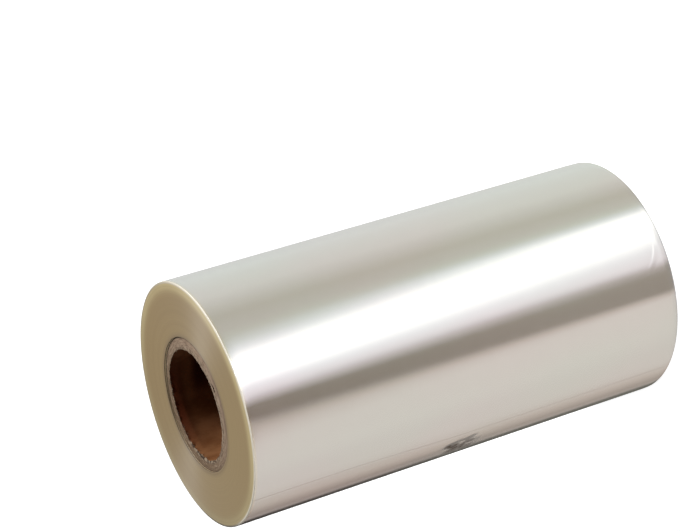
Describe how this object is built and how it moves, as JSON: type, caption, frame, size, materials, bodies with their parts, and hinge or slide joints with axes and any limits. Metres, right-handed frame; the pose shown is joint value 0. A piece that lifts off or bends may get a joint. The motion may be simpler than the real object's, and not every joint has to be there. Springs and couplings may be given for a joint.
{
  "type": "roll of lidding film",
  "caption": "Wide roll of clear glossy lidding film, tightly wound on a paperboard core that fits a 76 mm mandrel.",
  "frame": {"origin": "centre of the cut end that the roll stands on", "axes": "+Z along the roll's axis, up from the standing end; +X towards the side that lies uppermost in the reference view"},
  "size_m": [0.1678, 0.1679, 0.328],
  "materials": {
    "film": "clear glossy film, silvery where it is wound",
    "paperboard": "matt spiral-wound paperboard with knife-cut ends"
  },
  "bodies": {
    "root": {"film_roll": "film", "core": "paperboard"}
  },
  "joints": []
}
